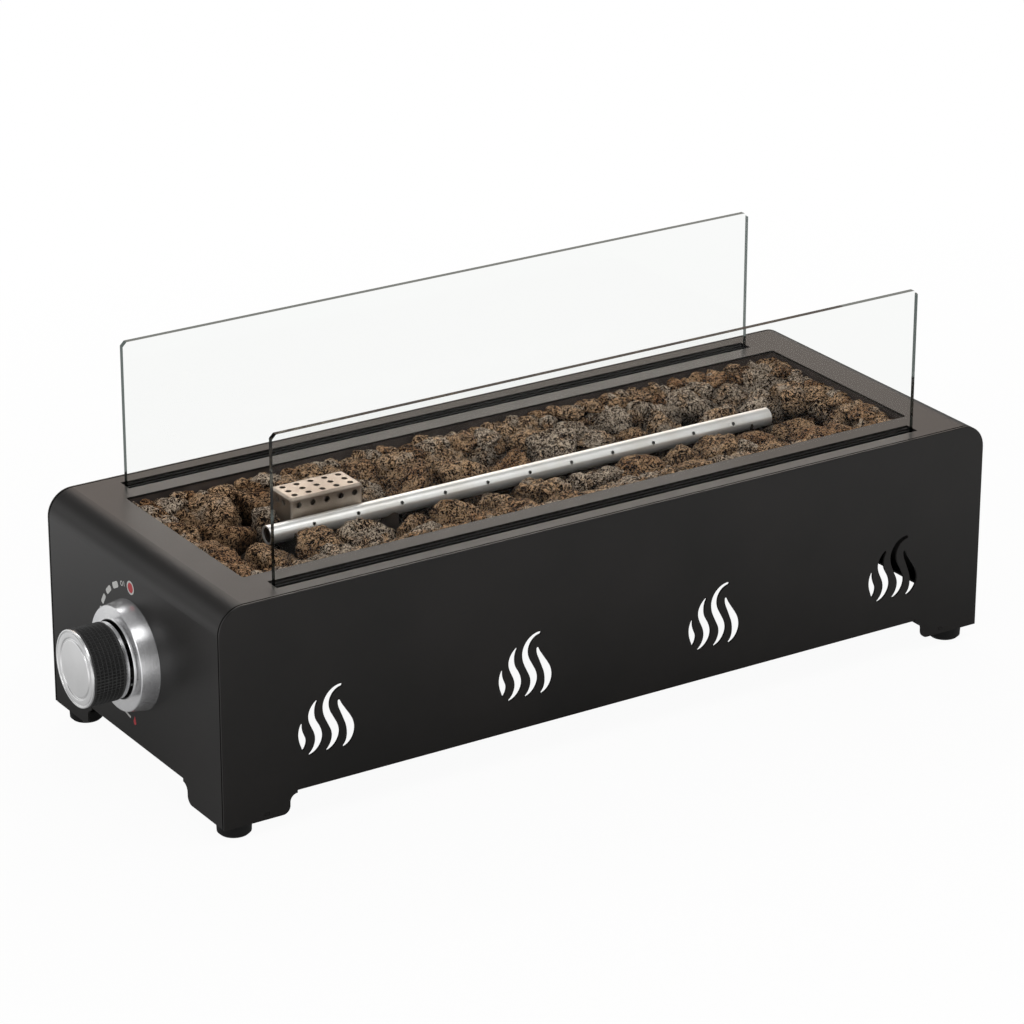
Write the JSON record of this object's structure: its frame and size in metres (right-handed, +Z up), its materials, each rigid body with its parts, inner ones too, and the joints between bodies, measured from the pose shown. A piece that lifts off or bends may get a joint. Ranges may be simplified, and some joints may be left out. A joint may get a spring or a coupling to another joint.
{
  "type": "tabletop gas fire pit",
  "caption": "Long black sheet-metal tabletop fire pit with glass wind guards, a burner tube in lava rocks and a push-and-turn gas knob on its left end.",
  "frame": {"origin": "on the table under the middle of the body; z = 0 is the underside of the four feet", "axes": "+X along the body away from the knob, +Y towards the rear with the gas inlet, +Z up"},
  "size_m": [0.6423, 0.253, 0.262],
  "materials": {
    "powder_coat": "matte black powder coat with a fine texture",
    "bright_ring": "bright satin chrome",
    "knob_plastic": "matte black with fine upright grooves",
    "tray_enamel": "heat-resistant satin black",
    "burner_steel": "polished stainless steel",
    "plated_steel": "zinc-plated, satin",
    "guard_steel": "satin stainless steel",
    "mixer_steel": "plain steel tube",
    "spring_steel": "spring steel",
    "lava": "rough porous lava rock",
    "clear_glass": "clear tempered glass with polished edges",
    "silicone": "matte black silicone",
    "foot_rubber": "matte black rubber",
    "cast_aluminium": "die-cast, plain",
    "pipe_aluminium": "drawn tube, plain",
    "brass": "machined",
    "igniter_plastic": "moulded",
    "white_ceramic": "unglazed alumina",
    "lead_sleeve": "silicone sleeve",
    "sensor_copper": "bare copper tube"
  },
  "bodies": {
    "casing": {"air_shutter": "plated_steel", "bezel": "bright_ring", "burner_bracket_left": "plated_steel", "burner_bracket_right": "plated_steel", "burner_cap_left": "burner_steel", "burner_cap_right": "burner_steel", "burner_pipe": "pipe_aluminium", "burner_pipe_nut": "brass", "burner_tray": "tray_enamel", "burner_tube": "burner_steel", "flame_sensor": "burner_steel", "foot_nuts": "plated_steel", "foot_plate_front_left": "powder_coat", "foot_plate_front_right": "powder_coat", "foot_plate_rear_left": "powder_coat", "foot_plate_rear_right": "powder_coat", "foot_screws": "plated_steel", "front_glass_channel": "plated_steel", "front_glass_liner": "silicone", "front_panel": "powder_coat", "gas_inlet": "brass", "gas_orifice": "brass", "guard_box": "guard_steel", "heat_shield": "plated_steel", "housing_wrap": "powder_coat", "igniter_electrode": "white_ceramic", "igniter_lead": "lead_sleeve", "inlet_nut": "brass", "inlet_pipe": "pipe_aluminium", "inlet_pipe_nut": "brass", "lava_rocks": "lava", "mixer_tube": "mixer_steel", "piezo_igniter": "igniter_plastic", "rear_glass_channel": "plated_steel", "rear_glass_liner": "silicone", "rear_panel": "powder_coat", "rubber_foot_front_left": "foot_rubber", "rubber_foot_front_right": "foot_rubber", "rubber_foot_rear_left": "foot_rubber", "rubber_foot_rear_right": "foot_rubber", "sensor_lead": "sensor_copper", "valve_body": "cast_aluminium", "valve_bonnet": "plated_steel", "valve_screws": "plated_steel"},
    "plug": {"valve_plug": "brass", "stem_spring": "spring_steel"},
    "knob": {"valve_stem": "plated_steel", "knob_grip": "knob_plastic", "knob_cap": "bright_ring", "knob_ring": "bright_ring"},
    "front_glass": {"front_glass": "clear_glass"},
    "rear_glass": {"rear_glass": "clear_glass"}
  },
  "joints": [
    {"name": "valve_turn", "type": "hinge", "parent": "casing", "child": "plug", "pos_m": [-0.2845, 0, 0.0882], "axis": [-1, 0, 0], "range_deg": [0, 180]},
    {"name": "knob_push", "type": "slide", "parent": "plug", "child": "knob", "axis": [1, 0, 0], "range_m": [0, 0.004], "stiffness_N_per_m": 600, "springref_m": -0.004, "deforming": ["stem_spring"]},
    {"name": "front_glass_lift", "type": "slide", "parent": "casing", "child": "front_glass", "axis": [0, 0, 1], "range_m": [0, 0.035]},
    {"name": "rear_glass_lift", "type": "slide", "parent": "casing", "child": "rear_glass", "axis": [0, 0, 1], "range_m": [0, 0.035]}
  ]
}
